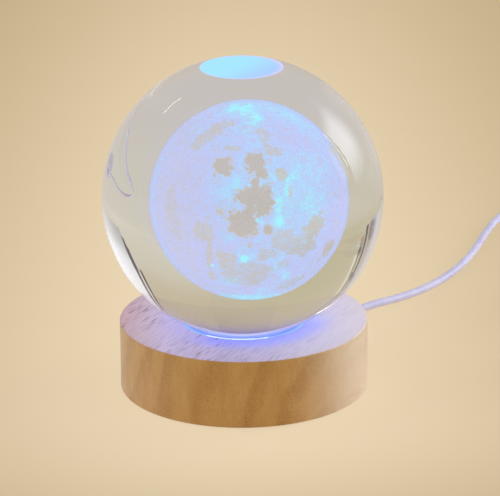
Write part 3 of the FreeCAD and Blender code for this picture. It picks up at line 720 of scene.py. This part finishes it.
def moon_fields(points):
    """For points on a unit globe: how clear the plain is, how bright the ground, and its relief in mm."""
    radius = MOON_RADIUS / MM
    rough = np.array([noise.fractal(Vector(p * 9.0), 0.6, 2.1, 5) for p in points])
    fine = np.array([noise.fractal(Vector(p * 26.0 + 7.0), 0.5, 2.0, 3) for p in points])
    steps = np.array([noise.cell(Vector(p * 21.0 + 40.0)) for p in points]) - 0.5

    def away_from(lon, lat, wide, high, turn, power):
        out, east, north = globe(lon, lat)
        c, s = math.cos(math.radians(turn)), math.sin(math.radians(turn))
        x = np.abs(radius * (points @ (c * east + s * north)) / wide)
        y = np.abs(radius * (points @ (c * north - s * east)) / high)
        return (x ** power + y ** power) ** (1 / power) + 9.0 * (points @ out < 0.1)

    clear = np.zeros(len(points))
    for lon, lat, wide, high, turn, strength in PLAINS:
        away = away_from(lon, lat, wide, high, turn, 2.6)
        ragged = (0.3 * rough + 0.24 * steps) * min(1.0, 2.2 / min(wide, high))
        clear = np.maximum(clear, strength * np.clip((1.2 - away + ragged) / 0.16, 0, 1))
    bright = np.zeros(len(points))
    for lon, lat, wide, high, turn, strength in BRIGHTS:
        away = away_from(lon, lat, wide, high, turn, 2.0)
        bright += strength * np.exp(-0.9 * np.minimum(away, 4.0) ** 2.2) * (1 + 0.5 * rough)
    rng = random.Random(11)
    relief = 0.04 * rough + 0.03 * fine - 0.12 * clear
    for _ in range(CRATERS):
        out, _, _ = globe(rng.uniform(-180, 180), math.degrees(math.asin(rng.uniform(-1, 1))))
        size = rng.uniform(0.35, 1.5) ** 1.3
        away = radius * np.arccos(np.clip(points @ out, -1, 1)) / size
        bowl = np.where(away < 1, (away ** 2 - 1) * 0.08 * size, 0)
        relief += bowl + 0.03 * size * np.exp(-((away - 1.05) / 0.22) ** 2)
        clear = np.maximum(clear, 0.14 * np.clip(1.2 - away, 0, 1) * (size > 0.6))
        bright += 0.14 * np.exp(-((away - 1.1) / 0.3) ** 2)
    return clear, bright, np.clip(relief, -0.5, 0.0)


def moon_mesh():
    """The Moon as a sphere with its relief, and with its fields stored at its points."""
    body = bmesh.new()
    bmesh.ops.create_icosphere(body, subdivisions=7, radius=1.0)
    mesh = bpy.data.meshes.new("moon_shell")
    body.to_mesh(mesh)
    body.free()
    points = np.empty(len(mesh.vertices) * 3)
    mesh.vertices.foreach_get("co", points)
    points = points.reshape(-1, 3)
    clear, bright, relief = moon_fields(points)
    placed = points * (MOON_RADIUS + relief[:, None] * MM) + np.array(MOON_CENTRE)
    mesh.vertices.foreach_set("co", placed.ravel())
    for key, values in (("clear", clear), ("bright", bright)):
        field = mesh.attributes.new(key, "FLOAT", "POINT")
        field.data.foreach_set("value", values.astype(np.float32))
    for polygon in mesh.polygons:
        polygon.use_smooth = True
    mesh.update()
    return mesh


def moon_look():
    """A shell of countless fine marks, cut in level rows, that catch the blue light from below."""
    look = Look("engraving", Roughness=0.8, Specular_IOR_Level=0.0, Emission_Strength=1.0,
                Sheen_Weight=1.0, Sheen_Roughness=0.15, Sheen_Tint=(0.6, 0.75, 1.0, 1.0))
    look.material.use_backface_culling = True
    place = look.place()
    clear = look.add("ShaderNodeAttribute", attribute_name="clear").outputs["Fac"]
    bright = look.add("ShaderNodeAttribute", attribute_name="bright").outputs["Fac"]
    dots = look.noise(place, 2900.0, 2.0, 0.7)
    mottle = look.noise(place, 620.0, 4.0, 0.62)
    broad = look.noise(place, 130.0, 3.0, 0.6)
    x, y, z = look.axes(place)
    rows = look.math("SINE", look.math("MULTIPLY", z, 2 * math.pi / ROW_PITCH))
    low = MOON_CENTRE.z - MOON_RADIUS
    painted_light_from_below = look.step(z, low + 0.7 * MM, low + 1.9 * MM, 1.0, 0.0)
    side = look.step(look.total(x, (y, -0.2), (broad, 0.010)), -0.013, 0.010)
    # Painted light: the marks' glow is emission, brighter at the right and along the very bottom, and a
    # little dimmer over the lower half
    lit = look.total((bright, 0.8), (side, 0.34), look.step(mottle, 0.35, 0.65, -0.06, 0.10),
                     (painted_light_from_below, 0.5),
                     look.step(z, MOON_CENTRE.z - 12 * MM, MOON_CENTRE.z + 6 * MM, -0.11, 0.0),
                     look.step(dots, 0.3, 0.7, -0.18, 0.24))
    colour = look.ramp(lit, [(0.0, srgb(196, 202, 255)), (0.3, srgb(188, 201, 255)),
                             (0.55, srgb(178, 212, 255)), (0.8, srgb(170, 226, 255)),
                             (1.0, srgb(162, 246, 255))])
    colour = look.mix(look.step(clear, 0.8, 1.0), colour, srgb(122, 112, 180))
    cover = look.total((side, 0.20), 0.71, (bright, 0.3), (clear, -0.95),
                       look.step(mottle, 0.35, 0.65, -0.16, 0.09),
                       (look.math("SUBTRACT", dots, 0.5), 1.4), (rows, 0.04), (painted_light_from_below, 0.3))
    alpha = look.product(look.math("MINIMUM", look.math("MAXIMUM", cover, 0.12), 0.97), look.outside())
    look.set(Emission_Color=colour, Alpha=alpha,
             Base_Color=look.mix(dots, srgb(30, 28, 44), srgb(60, 58, 80)))
    return look


moon_shell = new_object("moon_shell", moon_mesh(), "ball", "engraving", moon_look())
moon_shell.visible_shadow = False
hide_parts("engraved_moon")


# Floor, backdrop and light

FLOOR_COLOUR = srgb(243, 222, 188)
FLOOR_EDGE = srgb(199, 178, 139)
HORIZON = srgb(206, 188, 154)
FLOOR_REACH = 12.0


def floor_look():
    """Beige paper with a painted pool of light round the object, that fades into the backdrop far away."""
    look = Look("paper", Roughness=0.9, Specular_IOR_Level=0.0)
    x, y, _ = look.axes(look.place())

    def square(value, size):
        return look.math("POWER", look.math("MULTIPLY", value, 1 / size), 2.0)

    in_front = look.math("MINIMUM", look.math("ADD", y, 0.02), 0.0)
    painted_light_pool = look.math("SQRT", look.total(square(x, 0.10), square(y, 0.52), square(in_front, 0.09)))
    colour = look.mix(look.step(painted_light_pool, 0.1, 1.5), FLOOR_COLOUR, FLOOR_EDGE)
    distance = radius_from_axis(look)
    colour = look.mix(look.step(distance, 0.45, 2.2), colour, HORIZON)

    # What gloss and glass see of it: the darker backdrop behind, and the studio's sides
    path = look.add("ShaderNodeLightPath").outputs
    bearing = look.math("DIVIDE", x, distance)
    near_through = look.mix(look.step(bearing, -0.7, 0.7), srgb(204, 196, 176), srgb(208, 201, 187))
    far_through = look.mix(look.step(bearing, -0.7, 0.7), srgb(195, 185, 152), srgb(214, 207, 191))
    through = look.mix(look.step(distance, 0.2, 0.8), near_through, far_through)
    through = look.mix(look.step(distance, 0.07, 0.14, 1.0, 0.0), through, srgb(202, 194, 186))
    behind = look.mix(look.step(bearing, -0.2, 0.2), srgb(224, 214, 200), srgb(210, 200, 182))
    # Painted highlight: near the object the floor that gloss sees is paler, which brightens the ball's low
    # rim
    mirrored = look.mix(look.step(y, 0.05, 0.20), srgb(241, 233, 222), behind)
    shown = look.mix(path["Is Glossy Ray"], colour, mirrored)
    shown = look.mix(path["Is Transmission Ray"], shown, through)
    look.set(Base_Color=shown)
    glow = look.add("ShaderNodeEmission", {0: shown}).outputs[0]
    plain = look.math("MAXIMUM", look.step(distance, 0.6, 2.2, 0.8, 1.0),
                      look.product(path["Is Transmission Ray"], 0.95))
    mixed = look.add("ShaderNodeMixShader", {0: look.product(look.seen(path), plain),
                                             1: look.shader.outputs[0], 2: glow}).outputs[0]
    look.put(look.output.inputs["Surface"], mixed)
    return look


def add_floor():
    mesh = bpy.data.meshes.new("floor")
    corners = [(-1, -1), (1, -1), (1, 1), (-1, 1)]
    mesh.from_pydata([(x * FLOOR_REACH, y * FLOOR_REACH, 0) for x, y in corners], [], [(0, 1, 2, 3)])
    mesh.materials.append(floor_look().material)
    floor = bpy.data.objects.new("floor", mesh)
    scene.collection.objects.link(floor)


class Studio(Graph):
    """The room round the object, laid out by the azimuth and the lift of a view, in degrees."""

    def __init__(self, tree):
        super().__init__(tree)
        axes = self.axes(self.add("ShaderNodeTexCoord").outputs["Generated"])
        self.azimuth = self.math("MULTIPLY", self.math("ARCTAN2", axes[1], axes[0]), 180 / math.pi)
        self.lift = self.math("MULTIPLY", self.math("ARCSINE", axes[2]), 180 / math.pi)

    def between(self, value, low, high, soft_low, soft_high, level=1.0):
        return self.product(self.step(value, low - soft_low, low),
                            self.step(value, high, high + soft_high, level, 0.0))

    def window(self, across, up):
        return self.product(self.between(self.azimuth, *across), self.between(self.lift, *up))

    def draw(self, under, colour, place, line, wide, low, high, core=0.4):
        """Draws a thin line on what lies under it, where place is near line, between two heights."""
        gap = self.math("ABSOLUTE", self.math("SUBTRACT", place, line))
        share = self.product(self.step(gap, wide * core, wide, 1.0, 0.0),
                             self.between(self.lift, low, high, 2, 3))
        return self.mix(share, under, colour)

    def excess(self, value, over):
        return self.math("MAXIMUM", self.math("SUBTRACT", value, over), 0.0)

    def backdrop(self, height):
        left = self.ramp(height, [
            (0.0, srgb(212, 205, 188)), (0.10, srgb(208, 200, 180)), (0.2, srgb(199, 186, 158)),
            (0.33, srgb(192, 177, 146)), (0.44, srgb(187, 170, 143)), (0.54, srgb(168, 150, 142))])
        right = self.ramp(height, [
            (0.0, srgb(194, 184, 150)), (0.14, srgb(194, 184, 150)), (0.3, srgb(197, 184, 152)),
            (0.4, srgb(192, 178, 148)), (0.47, srgb(184, 168, 149)), (0.54, srgb(168, 150, 142))])
        return self.mix(self.step(self.azimuth, 62.0, 118.0), left, right)

    def near_screen(self, under, height):
        """A pale screen with dark edges. They are straight in the room, so they bend in these angles."""
        above = self.math("POWER", self.excess(self.lift, 18.0), 2.0)
        below = self.math("POWER", self.excess(18.0, self.lift), 2.0)
        across = self.math("ADD", self.azimuth, self.total((above, 0.0125), (below, 0.0223)))
        screen = self.product(self.between(across, -2.0, 44.3, 30.0, 0.8),
                              self.between(self.lift, 1.0, 46.0, 2.5, 6.0))
        light = self.ramp(height, [
            (0.01, (0.38, 0.36, 0.34, 1)), (0.07, (0.50, 0.50, 0.49, 1)), (0.14, (0.82, 0.82, 0.84, 1)),
            (0.26, (1.0, 1.0, 1.02, 1)), (0.5, (1.0, 0.98, 1.04, 1))])
        side_level = self.ramp(self.product(self.math("ABSOLUTE", self.azimuth), 1 / 90), [
            (0.05, (2.2, 2.25, 2.7, 1)), (0.2, (1.75, 1.78, 2.0, 1)), (0.33, (1.25, 1.27, 1.36, 1)),
            (0.46, (0.95, 0.97, 1.0, 1))])
        shown = self.mix(screen, under, self.mix(1.0, light, side_level, "MULTIPLY"))
        for colour, *line in ((srgb(232, 216, 216), 46.7, 1.4, 9, 46),
                              (srgb(4, 4, 4), 44.9, 1.2, 4, 46, 0.8),
                              (srgb(4, 4, 4), 45.1, 1.9, 7, 14, 0.8),
                              (srgb(40, 28, 22), 48.4, 1.1, 15, 46, 0.7)):
            shown = self.draw(shown, colour, across, *line)
        return shown

    def far_screen(self, under):
        """A pale screen at the other side, with thin edges that lean in above, and two bright strips."""
        screen = self.product(self.step(self.azimuth, 145.5, 147.0),
                              self.between(self.lift, -1.0, 80.0, 1.0, 5.0))
        margin = self.mix(self.step(self.lift, 5.0, 16.0), srgb(146, 126, 114), srgb(176, 164, 166))
        light = self.mix(self.step(self.azimuth, 148.0, 157.0), margin, srgb(208, 204, 206))
        shown = self.mix(screen, under, light)
        foot = self.mix(self.step(self.lift, 3.0, 10.0), srgb(168, 132, 102), srgb(92, 78, 60))
        lean = self.product(self.excess(self.lift, 31.0), 0.65)
        leaning = self.math("ADD", self.azimuth, lean)
        steep = self.total(self.azimuth, (lean, 1.75))
        for colour, *line in ((srgb(228, 220, 198), self.azimuth, 137.2, 1.7, 11, 30),
                              (foot, self.azimuth, 139.8, 1.9, 4, 10, 0.6),
                              (srgb(30, 24, 20), leaning, 143.5, 1.5, -1, 24, 0.7),
                              (srgb(70, 58, 54), leaning, 145.6, 1.3, 24, 48, 0.6),
                              (srgb(120, 106, 92), steep, 139.4, 0.9, 12, 20, 0.6),
                              (srgb(90, 76, 70), steep, 141.4, 1.2, 21, 44, 0.6)):
            shown = self.draw(shown, colour, *line)
        shown = self.mix(self.window((150, 168, 6, 8), (42, 47, 3, 4)), shown, (1.1, 1.05, 1.1, 1))
        return self.mix(self.window((137, 160, 2, 2), (43.9, 45.3, 0.7, 0.7)), shown, (3.2, 3.0, 3.0, 1))

    def seen_through_glass(self):
        height = self.product(self.math("MAXIMUM", self.lift, 0.0), 1 / 90)
        return self.far_screen(self.near_screen(self.backdrop(height), height))

    def mirrored(self):
        """A soft lamp screen at the back right with a dark bar, and a thin lamp at the back left."""
        shown = self.mix(self.step(self.lift, 0.0, 40.0), srgb(206, 194, 166), srgb(200, 196, 186))
        box = self.window((17.2, 27.0, 0.5, 24.0), (18.0, 27.0, 22.0, 12.0))
        shown = self.mix(box, shown, (4.0, 4.2, 4.7, 1))
        fringe = self.mix(self.between(self.lift, 10.0, 24.0, 6.0, 6.0), shown, (2.4, 2.5, 2.7, 1))
        shown = self.mix(self.between(self.azimuth, 4.0, 11.0, 3.0, 2.5, 0.5), shown, fringe)
        shown = self.draw(shown, (4.4, 4.4, 4.2, 1), self.azimuth, 14.8, 0.9, 12, 33)
        shown = self.draw(shown, (0.0, 0.0, 0.0, 1), self.azimuth, 16.3, 0.9, 10, 35)
        slope = self.total(self.lift, (self.math("SUBTRACT", self.azimuth, 131.0), 0.6))
        gap = self.math("ABSOLUTE", self.math("SUBTRACT", slope, 41.6))
        lamp = self.product(self.step(gap, 0.3, 0.8, 1.0, 0.0),
                            self.between(self.azimuth, 132.0, 142.5, 1.0, 0.6))
        return self.mix(lamp, shown, (7.0, 6.8, 6.4, 1.0))


def light_world():
    """Plain white light on the object; what gloss and glass see is the studio round it."""
    world = bpy.data.worlds.new("studio")
    scene.world = world
    world.use_nodes = True
    world.node_tree.nodes.clear()
    studio = Studio(world.node_tree)
    path = studio.add("ShaderNodeLightPath").outputs
    shown = studio.mix(path["Is Transmission Ray"], studio.mirrored(), studio.seen_through_glass())
    shown = studio.mix(path["Is Camera Ray"], shown, HORIZON)
    level = studio.step(studio.lift, 0.0, 75.0, 0.9, 0.26)
    plain = studio.add("ShaderNodeBackground", {0: (1.0, 0.985, 0.96, 1.0), 1: level}).outputs[0]
    room = studio.add("ShaderNodeBackground", {0: shown, 1: 1.0}).outputs[0]
    mixed = studio.add("ShaderNodeMixShader", {0: studio.seen(path), 1: plain, 2: room}).outputs[0]
    studio.add("ShaderNodeOutputWorld", {0: mixed})


def add_light(name, kind, place, power, colour):
    """A lamp that no gloss or glass shows."""
    data = bpy.data.lights.new(name, kind)
    data.energy = power
    data.color = colour
    light = bpy.data.objects.new(name, data)
    light.location = place
    light.visible_glossy = False
    light.visible_transmission = False
    scene.collection.objects.link(light)
    return light


def add_area_light(name, place, target, size, power, colour, body=None):
    """A soft lamp that faces a target, and that may ride on a body of the part."""
    light = add_light(name, "AREA", place, power, colour)
    light.data.shape = "RECTANGLE"
    light.data.size, light.data.size_y = size
    light.rotation_euler = (Vector(target) - Vector(place)).to_track_quat("-Z", "Y").to_euler()
    light.visible_camera = False
    if body:
        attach(light, body)
    return light


def only_on(light, *receivers):
    """Lets a light fall on these objects alone."""
    group = bpy.data.collections.new(light.name + "_receivers")
    for receiver in receivers:
        group.objects.link(receiver)
    light.light_linking.receiver_collection = group


def light_object():
    middle = (0, 0, 0.03)
    add_area_light("key", (0.95, 0.45, 0.35), middle, size=(0.7, 0.5), power=7.0, colour=(1.0, 0.97, 0.93))
    add_area_light("fill", (-0.8, 0.1, 0.5), middle, size=(0.7, 0.7), power=2.4, colour=(1.0, 0.95, 0.92))

    # The part's own light on the wood: from the Moon above, and from the seat
    above = BALL_CENTRE + UP * 24 * MM
    moon_glow = add_area_light("moon_glow", above, above - UP, size=(0.02, 0.02), power=0.052,
                               colour=(0.04, 0.16, 1.0), body="ball")
    only_on(moon_glow, nodes["wooden_base"])
    in_seat = (0.0025, -0.006, WOOD_TOP + 0.0045)
    seat_glow = add_light("seat_glow", "POINT", in_seat, power=0.0095, colour=(0.0, 0.3, 1.0))
    seat_glow.data.shadow_soft_size = 0.008
    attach(seat_glow, "root")
    only_on(seat_glow, nodes["wooden_base"])


add_floor()
light_world()
light_object()


# Camera

CAMERA_PLACE = Vector((1.98, -923.3, 366.8)) * MM
CAMERA_TARGET = Vector((1.98, 0.0, 41.27)) * MM
CAMERA_ROLL = math.radians(-0.43)
FOCAL_LENGTH = 247.0
SENSOR_WIDTH = 36.0


def add_camera():
    data = bpy.data.cameras.new("camera")
    data.sensor_fit = "HORIZONTAL"
    data.sensor_width = SENSOR_WIDTH
    data.lens = FOCAL_LENGTH
    data.clip_start = 0.02
    camera = bpy.data.objects.new("camera", data)
    look_at = (CAMERA_TARGET - CAMERA_PLACE).to_track_quat("-Z", "Y").to_matrix()
    camera.location = CAMERA_PLACE
    camera.rotation_euler = (look_at @ Matrix.Rotation(CAMERA_ROLL, 3, "Z")).to_euler()
    scene.collection.objects.link(camera)
    scene.camera = camera


add_camera()
